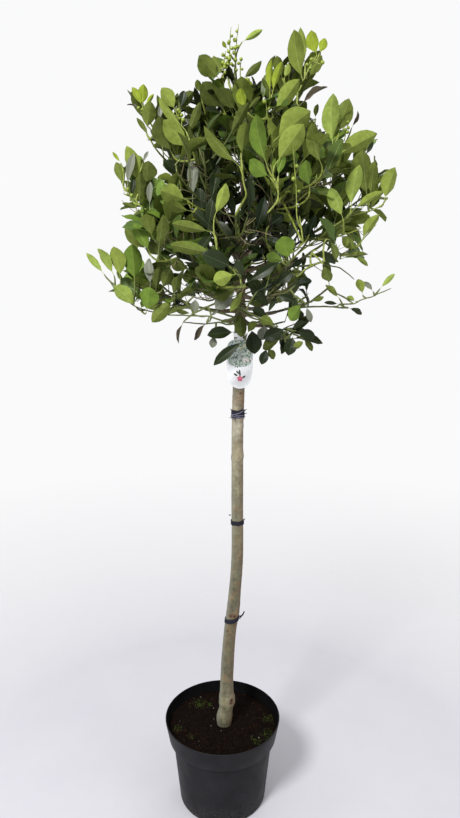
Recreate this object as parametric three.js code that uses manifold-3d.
// A standard holly in a round nursery pot: a clear leaning stem with a rounded, open head of leafy shoots.
// Millimetres, +Z up. The origin is the centre of the pot's flat underside, +X is right and -Y is the front.

import * as THREE from "three";
import { mergeVertices } from "three/addons/utils/BufferGeometryUtils.js";
import Module from "manifold-3d";

const wasm = await Module();
wasm.setup();

// Pot, a moulded container of 7.5 litres
const POT_HEIGHT = 195;
const POT_RIM_RADIUS = 130;
const POT_COLLAR_HEIGHT = 45; // the deeper band round the mouth
const POT_COLLAR_FLARE = 8; // how much wider the collar is at the rim than at its foot
const POT_COLLAR_STEP = 9; // how far the foot of the collar stands out of the wall
const POT_WALL = 2.2;
const POT_BASE_RADIUS = 98;
const POT_BASE_CORNER = 4;
const POT_SIDES = 28;
const DRAIN_COUNT = 6;
const DRAIN_RADIUS = 6;
const DRAIN_CIRCLE = 68;
const DRAIN_SIDES = 6;

// Compost, filled to a little below the rim
const SOIL_TOP = 176;
const SOIL_EDGE_DROP = 5;
const SOIL_FLAT_RADIUS = 52;

// Clearances between pieces that touch on the real plant
const GAP = 0.3;
const LEAF_CLEARANCE = 0.6;

// Stem stations: height above the soil, lean to the right, set back, radius
const STEM_STATIONS = [
  [0, 3.5, -4, 16.5],
  [12, 4, -4, 18],
  [26, 5.5, -4, 17],
  [38, 8, -4, 15.8],
  [52, 10, -4, 18.4],
  [66, 10, -4, 17],
  [80, 9.5, -4, 15.3],
  [160, 12, -4, 14.3],
  [235, 18, -3.5, 13.8],
  [268, 23, -3, 14.3],
  [330, 28.5, -3, 13.2],
  [390, 32.5, -2, 12.8],
  [530, 32.7, -1, 12.5],
  [700, 33.2, 0, 12.4],
  [790, 35.5, 0, 12.4],
  [880, 37, 1, 11.4],
  [960, 39, 2, 9.4],
  [1040, 40, 3, 7.2],
  [1112, 41, 3, 5],
];
const STEM_SIDES = 10;

// Ties round the stem: height of the middle above the ground, width, thickness
const TIES = {
  tie_upper: [894, 18, 2],
  tie_middle: [656, 10, 1.6],
  tie_lower: [428, 11, 1.8],
};

// Plain hanging label in front of the stem: half its outline, out from the middle and up from its foot
const LABEL_FOOT = 948;
const LABEL_HALF = [
  [0, 0],
  [12, 5],
  [19, 18],
  [27, 46],
  [27, 88],
  [17, 100],
  [5, 103],
  [5, 114],
];
const LABEL_THICKNESS = 0.9;
const STRAP_HEIGHT = 1058;
const STRAP_WIDTH = 8;
const STRAP_THICKNESS = 1.2;

// Boughs and twigs
const CROWN_AXIS = new THREE.Vector3(39, 2, 0);
const BOUGH_ROOT_RADIUS = 5;
const BOUGH_ROOT_SHARE = 0.6; // no thicker than this share of the stem where it forks
const BOUGH_TIP_RADIUS = 3.4;
const BOUGH_SIDES = 5;
const BOUGH_STEPS = 2;
const BOUGH_SAG = 0.12; // how far a bough dips under the straight line to its tip
const TWIG_SIDES = 3;
const LEADER_RUNS = 3;
const LATERAL_RUNS = 2;
const LATERAL_LIFT = 0.3; // how far side shoots turn up
const LEAF_LIFT = 0.3; // how far leaves turn up
const LEADER_RADII = [3, 1.7];
const LATERAL_RADII = [2.3, 1.5];
const LEADER_BARE = 0.14; // share of a shoot below its first leaf
const LATERAL_BARE = 0.22;
const LEADER_SHORT = 0.78; // how far the leader stops short of the furthest leaf tip, in leaf lengths
const SHOOT_BEND = 0.45; // how long a shoot keeps to the way it sets off
const LATERAL_FROM = 0.12; // where along the leader the first side shoot sits
const LATERAL_SPREAD = 0.5; // the share of the leader over which the side shoots are dealt
const LATERAL_SET_OFF = 0.9; // how squarely a side shoot leaves the leader
const GOLDEN_ANGLE = THREE.MathUtils.degToRad(137.5);

// Leaf, an elliptic blade on a short stalk, built with a keel
const LEAF_LENGTH = 77;
const LEAF_WIDTH = 0.52; // share of its length
const LEAF_FOLD = 0.02; // how far the edges rise above the stalk
const LEAF_KEEL = 0.028; // how far the midrib hangs below it
const LEAF_SHOULDER = 0.4; // where along it the blade is widest
const LEAF_NECK = 0.72;
const LEAF_KEEL_AT = 0.36;
const LEAF_DROOP = 0.02; // how far the tip hangs
const LEAF_BLADE_FROM = 0.14; // where the stalk ends and the blade begins
const LEAF_SIZES = [0.8, 1.15]; // smallest and largest, as shares of the full length
const LEAF_TIP_SIZE = 0.92; // size left at the very tip of a shoot
const LEAF_OPEN = [1.05, 0.55]; // angle between leaf and shoot in radians, low down and at the tip
const TERMINAL_OPEN = 0.12;
const TIP_FROM = 0.6; // where along a shoot its tip begins
const LEAF_ROLL = 0.9;
const INTERNODE = 28;
const LEAF_TWISTS = [0, 0.5, -0.5, 1, -1, 1.7, -1.7];
const LATERAL_CHOICES = [
  [0, 1],
  [2.1, 1],
  [4.2, 1],
  [0, 0.72],
  [2.1, 0.72],
  [4.2, 0.72],
];
const SEED_STEP = 40;
const LEAF_SEED = 20;

// Each mass of foliage: compass angle (0 is right, 90 is back), bough tip as distance from the
// crown axis and height, furthest leaf tip as distance and height, number of side shoots and their
// spread in degrees. The forks climb the stem in the reverse of this order.
const FORK_TOP = 1268;
const FORK_STEP = 7.5;
const MASSES = {
  top_centre: [200, 0, 0, 9, 1640, 3, 30],
  top_right: [-12, 28, 1318, 128, 1628, 3, 24],
  top_left: [212, 25, 1311, 80, 1588, 3, 32],
  top_back: [82, 28, 1305, 125, 1585, 3, 34],
  top_front: [285, 30, 1293, 140, 1545, 3, 34],
  upper_back_left: [125, 50, 1263, 225, 1475, 3, 36],
  upper_right: [-4, 55, 1266, 262, 1470, 3, 34],
  upper_front_left: [238, 50, 1251, 225, 1455, 3, 36],
  upper_back_right: [52, 52, 1248, 240, 1460, 3, 34],
  upper_left: [184, 48, 1257, 205, 1538, 3, 30],
  upper_front_right: [306, 53, 1233, 235, 1430, 3, 36],
  mid_back_left: [140, 58, 1203, 285, 1310, 3, 34],
  mid_right: [6, 64, 1209, 312, 1378, 3, 30],
  mid_front: [266, 55, 1191, 255, 1325, 3, 38],
  mid_back: [88, 55, 1191, 285, 1330, 3, 36],
  mid_front_left: [220, 59, 1173, 262, 1295, 3, 34],
  mid_front_right: [330, 60, 1169, 280, 1290, 3, 34],
  mid_left: [178, 61, 1188, 278, 1405, 3, 34],
  low_back_right: [48, 62, 1134, 268, 1190, 3, 34],
  low_front: [250, 55, 1124, 225, 1175, 3, 34],
  low_back_left: [116, 60, 1121, 250, 1165, 3, 34],
  low_front_right: [298, 58, 1112, 235, 1160, 3, 34],
  low_left: [184, 73, 1111, 308, 1220, 3, 28],
  low_right: [1, 73, 1105, 310, 1178, 2, 20],
  hang_left: [207, 37, 1087, 115, 1000, 2, 30],
  hang_right: [336, 46, 1077, 165, 1015, 3, 34],
};

const COLOURS = {
  pot: [0x2c2d30, 0.55],
  soil: [0x2a1c14, 0.95],
  bark: [0x8f8a6c, 0.8],
  tie: [0x2b2d3c, 0.6],
  label: [0xf2f3f0, 0.4],
  leaf: [0x4f7a2e, 0.4],
};
const materials = {};
for (const [name, [color, roughness]] of Object.entries(COLOURS)) {
  materials[name] = new THREE.MeshStandardMaterial({ color, roughness, metalness: 0 });
}

const plant = new THREE.Group();
const UP = new THREE.Vector3(0, 0, 1);

// Geometry to solid and back

function solidOf(geometry) {
  const bare = geometry.clone();
  bare.deleteAttribute("normal");
  bare.deleteAttribute("uv");
  const merged = mergeVertices(bare, 1e-4);
  const mesh = new wasm.Mesh({
    numProp: 3,
    vertProperties: merged.attributes.position.array,
    triVerts: new Uint32Array(merged.index.array),
  });
  return new wasm.Manifold(mesh);
}

function geometryOf(solid) {
  const mesh = solid.getMesh();
  return new THREE.BufferGeometry()
    .setAttribute("position", new THREE.BufferAttribute(mesh.vertProperties, 3))
    .setIndex(new THREE.BufferAttribute(mesh.triVerts, 1));
}

function addPiece(name, solid, material) {
  const mesh = new THREE.Mesh(geometryOf(solid), materials[material]);
  mesh.geometry.computeVertexNormals();
  mesh.name = name;
  plant.add(mesh);
}

function largestBody(solid) {
  const bodies = solid.decompose();
  return bodies.reduce((best, body) => (body.volume() > best.volume() ? body : best));
}

// Rings of points joined into one closed skin, each ring in the same turning sense
function skin(rings) {
  const positions = [];
  const index = [];
  const sides = rings[0].length;
  rings.flat().forEach((point) => positions.push(point.x, point.y, point.z));
  for (let ring = 1; ring < rings.length; ring++) {
    for (let side = 0; side < sides; side++) {
      const next = (side + 1) % sides;
      const low = (ring - 1) * sides;
      const high = ring * sides;
      index.push(low + side, low + next, high + next, low + side, high + next, high + side);
    }
  }
  const last = (rings.length - 1) * sides;
  for (let side = 1; side < sides - 1; side++) {
    index.push(0, side + 1, side);
    index.push(last, last + side, last + side + 1);
  }
  return new THREE.BufferGeometry()
    .setAttribute("position", new THREE.Float32BufferAttribute(positions, 3))
    .setIndex(index);
}

// A tapering limb round a path, with flat ends square to it
function limb(points, radii, sides, startDirection, endDirection) {
  const last = points.length - 1;
  let across = new THREE.Vector3();
  const rings = points.map((point, i) => {
    const along = new THREE.Vector3().subVectors(points[Math.min(i + 1, last)], points[Math.max(i - 1, 0)]);
    if (i === 0 && startDirection) along.copy(startDirection);
    if (i === last && endDirection) along.copy(endDirection);
    along.normalize();
    if (i === 0) across = squareTo(along);
    across.addScaledVector(along, -across.dot(along)).normalize();
    const other = new THREE.Vector3().crossVectors(along, across);
    return Array.from({ length: sides }, (_, side) => {
      const angle = (side / sides) * 2 * Math.PI;
      return point
        .clone()
        .addScaledVector(across, radii[i] * Math.cos(angle))
        .addScaledVector(other, radii[i] * Math.sin(angle));
    });
  });
  return solidOf(skin(rings));
}

function squareTo(direction) {
  const helper = Math.abs(direction.z) < 0.9 ? UP : new THREE.Vector3(1, 0, 0);
  return new THREE.Vector3().crossVectors(helper, direction).normalize();
}

// Pot and compost

function lathe(profile) {
  const points = profile.map(([radius, height]) => new THREE.Vector2(radius, height));
  return solidOf(new THREE.LatheGeometry(points, POT_SIDES).rotateX(Math.PI / 2));
}

const collarFoot = POT_HEIGHT - POT_COLLAR_HEIGHT;
const collarFootRadius = POT_RIM_RADIUS - POT_COLLAR_FLARE;
const wallTopRadius = collarFootRadius - POT_COLLAR_STEP;
const floorRadius = POT_BASE_RADIUS - POT_BASE_CORNER;

function buildPot() {
  const shell = lathe([
    [0, 0],
    [floorRadius, 0],
    [POT_BASE_RADIUS, POT_BASE_CORNER],
    [wallTopRadius, collarFoot],
    [collarFootRadius, collarFoot],
    [POT_RIM_RADIUS, POT_HEIGHT - 2],
    [POT_RIM_RADIUS - 1, POT_HEIGHT],
    [POT_RIM_RADIUS - POT_WALL, POT_HEIGHT],
    [collarFootRadius - POT_WALL, collarFoot + POT_WALL],
    [wallTopRadius - POT_WALL, collarFoot + POT_WALL],
    [POT_BASE_RADIUS - POT_WALL, POT_BASE_CORNER + POT_WALL],
    [floorRadius - POT_WALL, POT_WALL],
    [0, POT_WALL],
  ]);
  const drain = new THREE.CylinderGeometry(DRAIN_RADIUS, DRAIN_RADIUS, 4 * POT_WALL, DRAIN_SIDES);
  drain.rotateX(Math.PI / 2);
  let pot = shell;
  for (let i = 0; i < DRAIN_COUNT; i++) {
    const angle = ((i + 0.5) / DRAIN_COUNT) * 2 * Math.PI;
    const hole = drain.clone().translate(DRAIN_CIRCLE * Math.cos(angle), DRAIN_CIRCLE * Math.sin(angle), 0);
    pot = pot.subtract(solidOf(hole));
  }
  addPiece("pot", pot, "pot");
}

function buildSoil() {
  const inset = POT_WALL + 2 * GAP;
  const shelf = collarFoot + POT_WALL + GAP;
  const edge = SOIL_TOP - SOIL_EDGE_DROP;
  const edgeRadius = collarFootRadius + (POT_COLLAR_FLARE * (edge - collarFoot)) / POT_COLLAR_HEIGHT;
  const soil = lathe([
    [0, POT_WALL + GAP],
    [floorRadius - inset, POT_WALL + GAP],
    [POT_BASE_RADIUS - inset, POT_BASE_CORNER + inset],
    [wallTopRadius - inset, shelf],
    [collarFootRadius - inset, shelf],
    [edgeRadius - inset, edge],
    [SOIL_FLAT_RADIUS, SOIL_TOP],
    [0, SOIL_TOP],
  ]);
  addPiece("soil", soil, "soil");
}

// Stem

const stemFoot = SOIL_TOP + GAP;
const stemPoints = STEM_STATIONS.map(
  ([height, lean, back]) => new THREE.Vector3(lean, back, stemFoot + height),
);

// Centre and radius of the stem at a height above the ground
function stemAt(height) {
  const last = STEM_STATIONS.length - 1;
  const above = height - stemFoot;
  let i = 1;
  while (i < last && STEM_STATIONS[i][0] < above) i++;
  const [low, high] = [STEM_STATIONS[i - 1], STEM_STATIONS[i]];
  const share = (above - low[0]) / (high[0] - low[0]);
  const mix = (k) => low[k] + (high[k] - low[k]) * share;
  return { centre: new THREE.Vector3(mix(1), mix(2), height), radius: mix(3) };
}

function stemSolid(growth) {
  const radii = STEM_STATIONS.map((station) => station[3] + growth);
  return limb(stemPoints, radii, STEM_SIDES, UP, UP);
}

// A sleeve round the stem, clear of its bark
function sleeve(middle, width, thickness) {
  const ends = [stemAt(middle - width / 2), stemAt(middle + width / 2)];
  const points = ends.map((end) => end.centre);
  const radii = ends.map((end) => end.radius + 2 * GAP + thickness);
  return limb(points, radii, STEM_SIDES, UP, UP).subtract(stemSolid(2 * GAP));
}

function buildTies() {
  for (const [name, [middle, width, thickness]] of Object.entries(TIES)) {
    addPiece(name, sleeve(middle, width, thickness), "tie");
  }
}

function buildLabel() {
  const left = LABEL_HALF.slice(1).reverse().map(([out, up]) => [-out, up]);
  const corners = [...LABEL_HALF, ...left].map(([out, up]) => new THREE.Vector2(out, LABEL_FOOT + up));
  const outline = new THREE.Shape(corners);
  const plate = new THREE.ExtrudeGeometry(outline, { depth: LABEL_THICKNESS, bevelEnabled: false });
  const foot = stemAt(LABEL_FOOT);
  const neck = stemAt(STRAP_HEIGHT);
  const front = foot.centre.y - foot.radius - 2 * GAP;
  plate.rotateX(Math.PI / 2).translate(neck.centre.x, front, 0);
  const strap = sleeve(STRAP_HEIGHT, STRAP_WIDTH, STRAP_THICKNESS);
  const bridgeWidth = 2 * LABEL_HALF[LABEL_HALF.length - 1][0];
  const bridgeDepth = neck.centre.y - front + LABEL_THICKNESS;
  const bridge = new THREE.BoxGeometry(bridgeWidth, bridgeDepth, STRAP_WIDTH).translate(
    neck.centre.x,
    front - LABEL_THICKNESS + bridgeDepth / 2,
    STRAP_HEIGHT,
  );
  const label = solidOf(plate)
    .add(strap)
    .add(solidOf(bridge).subtract(stemSolid(2 * GAP)));
  addPiece("label", label, "label");
  return label;
}

// Growth rule

// Numbers from 0 to 1 that repeat for the same seed
function seededRandom(seed) {
  let state = (seed * 2654435761) % 4294967296;
  return () => {
    state = (state * 1664525 + 1013904223) % 4294967296;
    return state / 4294967296;
  };
}

function around(angle, distance, height) {
  return new THREE.Vector3(
    CROWN_AXIS.x + distance * Math.cos(angle),
    CROWN_AXIS.y + distance * Math.sin(angle),
    height,
  );
}

// Where each mass starts, which way, and how far it reaches
function layOut([compass, boughReach, boughHeight, tipReach, tipHeight, laterals, spread], order) {
  const angle = THREE.MathUtils.degToRad(compass);
  const tip = around(angle, tipReach, tipHeight);
  if (!order) {
    return { start: stemPoints.at(-1), direction: UP, tip, laterals, spread, bough: null };
  }
  const fork = stemAt(FORK_TOP - FORK_STEP * (order - 1));
  const start = around(angle, boughReach, boughHeight);
  const bend = fork.centre.clone().lerp(start, 0.5);
  bend.z -= BOUGH_SAG * start.distanceTo(fork.centre);
  const bough = new THREE.QuadraticBezierCurve3(fork.centre, bend, start);
  return { start, direction: bough.getTangent(1).normalize(), tip, laterals, spread, bough, fork };
}

function boughSolid({ bough, fork, direction }, growth) {
  const points = bough.getPoints(BOUGH_STEPS);
  const rootRadius = Math.min(BOUGH_ROOT_RADIUS, BOUGH_ROOT_SHARE * fork.radius) + growth;
  const tipRadius = BOUGH_TIP_RADIUS + growth;
  const radii = points.map((_, i) => rootRadius + ((tipRadius - rootRadius) * i) / BOUGH_STEPS);
  return limb(points, radii, BOUGH_SIDES, undefined, direction);
}

// A shoot that sets off one way and bends to its end, in a few straight runs
function shootCurve(start, direction, end, runs) {
  const bend = start.clone().addScaledVector(direction, SHOOT_BEND * start.distanceTo(end));
  const path = new THREE.CurvePath();
  const points = new THREE.QuadraticBezierCurve3(start, bend, end).getPoints(runs);
  for (let i = 1; i < points.length; i++) path.add(new THREE.LineCurve3(points[i - 1], points[i]));
  path.points = points;
  return path;
}

// The leader of a mass, from just past its bough to its tip
function leaderOf({ start, direction, tip }) {
  const from = start.clone().addScaledVector(direction, GAP);
  const axis = tip.clone().sub(from).normalize();
  const end = tip.clone().addScaledVector(axis, -LEADER_SHORT * LEAF_LENGTH);
  const curve = shootCurve(from, direction, end, LEADER_RUNS);
  return { curve, radii: LEADER_RADII, bare: LEADER_BARE, axis };
}

// Ways in which the k-th side shoot of a leader may grow, the first choice first
function lateralsOf(leader, { laterals, spread }, k, random) {
  const side = squareTo(leader.axis);
  const other = new THREE.Vector3().crossVectors(leader.axis, side);
  const share = LATERAL_FROM + (LATERAL_SPREAD * k) / laterals + 0.06 * random();
  const firstTurn = k * GOLDEN_ANGLE + 0.9 * random();
  const lean = THREE.MathUtils.degToRad(spread * (1 - 0.25 * random()));
  const root = leader.curve.getPoint(share);
  const reach = root.distanceTo(leader.curve.getPoint(1)) * (0.78 + 0.2 * random());
  return LATERAL_CHOICES.map(([turnBy, reachShare]) => {
    const turn = firstTurn + turnBy;
    const aside = side.clone().multiplyScalar(Math.cos(turn)).addScaledVector(other, Math.sin(turn));
    const way = leader.axis.clone().multiplyScalar(Math.cos(lean)).addScaledVector(aside, Math.sin(lean));
    way.addScaledVector(UP, LATERAL_LIFT).normalize();
    const setOff = leader.curve.getTangent(share).addScaledVector(aside, LATERAL_SET_OFF).normalize();
    const end = root.clone().addScaledVector(way, reach * reachShare);
    const curve = shootCurve(root, setOff, end, LATERAL_RUNS);
    return { curve, radii: LATERAL_RADII, bare: LATERAL_BARE };
  });
}

// Where the leaves of a shoot sit, which way each points and faces, and how long it is
function leavesOf({ curve, radii, bare }, random) {
  const length = curve.getLength();
  const count = Math.max(3, Math.round((length * (1 - bare)) / INTERNODE));
  const firstTurn = 2 * Math.PI * random();
  const [smallest, largest] = LEAF_SIZES;
  const leaves = [];
  for (let i = 0; i <= count + 1; i++) {
    const terminal = i > count;
    const share = terminal ? 1 : bare + ((1 - bare) * i) / (count + 0.15);
    const along = curve.getTangent(Math.min(share, 1)).normalize();
    const side = squareTo(along);
    const other = new THREE.Vector3().crossVectors(along, side);
    const turn = firstTurn + i * GOLDEN_ANGLE + 0.5 * (random() - 0.5);
    const nearTip = Math.max(0, (share - TIP_FROM) / (1 - TIP_FROM));
    const opened = LEAF_OPEN[0] + (LEAF_OPEN[1] - LEAF_OPEN[0]) * nearTip;
    const open = terminal ? TERMINAL_OPEN : opened + 0.3 * (random() - 0.5);
    const fullSize = LEAF_LENGTH * (smallest + (largest - smallest) * random());
    const size = fullSize * (1 - (1 - LEAF_TIP_SIZE) * nearTip);
    const roll = LEAF_ROLL * (random() - 0.5);
    const away = side.multiplyScalar(Math.cos(turn)).addScaledVector(other, Math.sin(turn));
    const way = along.clone().multiplyScalar(Math.cos(open)).addScaledVector(away, Math.sin(open));
    way.addScaledVector(UP, LEAF_LIFT).normalize();
    const face = along.clone().add(UP);
    face.addScaledVector(way, -face.dot(way)).normalize().applyAxisAngle(way, roll);
    const radius = radii[0] + (radii[1] - radii[0]) * share;
    const root = curve.getPoint(Math.min(share, 0.985));
    leaves.push({ root, along, way, face, size, sink: 0.4 * radius });
  }
  return leaves;
}

// Corners of a leaf: its root, two along each edge, one under the midrib and the tip
const LEAF_FACES = [
  [0, 2, 1],
  [1, 2, 4],
  [1, 4, 3],
  [3, 4, 6],
  [0, 1, 5],
  [1, 3, 5],
  [3, 6, 5],
  [6, 4, 5],
  [4, 2, 5],
  [2, 0, 5],
];

function leafSolid({ root, way, face, size, sink }, from = -sink) {
  const across = new THREE.Vector3().crossVectors(face, way);
  const place = (along, aside, lift) =>
    root.clone().addScaledVector(way, along).addScaledVector(across, aside).addScaledVector(face, lift);
  const half = (LEAF_WIDTH * size) / 2;
  const edge = LEAF_FOLD * size;
  const corners = [
    place(from, 0, 0),
    place(LEAF_SHOULDER * size, half, edge),
    place(LEAF_SHOULDER * size, -half, edge),
    place(LEAF_NECK * size, 0.8 * half, edge),
    place(LEAF_NECK * size, -0.8 * half, edge),
    place(LEAF_KEEL_AT * size, 0, -LEAF_KEEL * size),
    place(size, 0, -LEAF_DROOP * size),
  ];
  const geometry = new THREE.BufferGeometry()
    .setAttribute("position", new THREE.Float32BufferAttribute(corners.flatMap((p) => [p.x, p.y, p.z]), 3))
    .setIndex(LEAF_FACES.flat());
  return solidOf(geometry);
}

// A mass keeps to the space nearer to its own heart than to any other's
function keepsTo(solid, home, hearts) {
  const points = solid.getMesh().vertProperties;
  for (const [name, heart] of Object.entries(hearts)) {
    if (name === home) continue;
    const apart = heart.clone().sub(hearts[home]);
    const limit = (heart.lengthSq() - hearts[home].lengthSq()) / 2 / apart.length() - LEAF_CLEARANCE / 2;
    apart.normalize();
    for (let i = 0; i < points.length; i += 3) {
      if (points[i] * apart.x + points[i + 1] * apart.y + points[i + 2] * apart.z > limit) return false;
    }
  }
  return true;
}

function twigSolid({ curve, radii }, startDirection) {
  const taper = (radii[1] - radii[0]) / (curve.points.length - 1);
  const steps = curve.points.map((_, i) => radii[0] + taper * i);
  return limb(curve.points, steps, TWIG_SIDES, startDirection);
}

function massSolid(name, layout, hearts, obstacles, index) {
  const leader = leaderOf(layout);
  const shoots = [leader];
  const parts = [twigSolid(leader, layout.direction)];
  for (let k = 0; k < layout.laterals; k++) {
    for (const choice of lateralsOf(leader, layout, k, seededRandom(SEED_STEP * index + k))) {
      const twig = twigSolid(choice);
      if (!keepsTo(twig, name, hearts) || !twig.intersect(obstacles).isEmpty()) continue;
      shoots.push(choice);
      parts.push(twig);
      break;
    }
  }
  const placed = [...parts];
  const meets = (one, other) => boxesMeet(one, other) && !one.intersect(other).isEmpty();
  shoots.forEach((shoot, k) => {
    for (const leaf of leavesOf(shoot, seededRandom(SEED_STEP * index + LEAF_SEED + k))) {
      for (const twist of LEAF_TWISTS) {
        const tried = { ...leaf, way: leaf.way.clone().applyAxisAngle(leaf.along, twist) };
        tried.face = leaf.face.clone().applyAxisAngle(leaf.along, twist);
        const solid = leafSolid(tried);
        if (!keepsTo(solid, name, hearts) || !solid.intersect(obstacles).isEmpty()) continue;
        const blade = leafSolid(tried, LEAF_BLADE_FROM * tried.size);
        if (placed.some((other) => meets(blade, other))) continue;
        parts.push(solid);
        placed.push(blade);
        break;
      }
    }
  });
  return largestBody(wasm.Manifold.union(parts));
}

function boxesMeet(one, other) {
  const [a, b] = [one.boundingBox(), other.boundingBox()];
  return [0, 1, 2].every((k) => a.min[k] < b.max[k] && b.min[k] < a.max[k]);
}

function buildCrown(label) {
  const layouts = {};
  const hearts = {};
  Object.entries(MASSES).forEach(([name, sizes], order) => {
    layouts[name] = layOut(sizes, order);
    hearts[name] = layouts[name].start.clone().lerp(layouts[name].tip, 0.55);
  });
  const stem = stemSolid(2 * GAP);
  const boughs = {};
  let taken = stem;
  for (const [name, layout] of Object.entries(layouts)) {
    if (!layout.bough) continue;
    boughs[name] = largestBody(boughSolid(layout, 0).subtract(taken));
    taken = taken.add(boughSolid(layout, GAP));
    addPiece("bough_" + name, boughs[name], "bark");
  }
  const obstacles = wasm.Manifold.union([stem, label, ...Object.values(boughs)]);
  Object.entries(layouts).forEach(([name, layout], index) => {
    addPiece("leaves_" + name, massSolid(name, layout, hearts, obstacles, index), "leaf");
  });
}

buildPot();
buildSoil();
addPiece("trunk", stemSolid(0), "bark");
buildTies();
const label = buildLabel();
buildCrown(label);

export default plant;
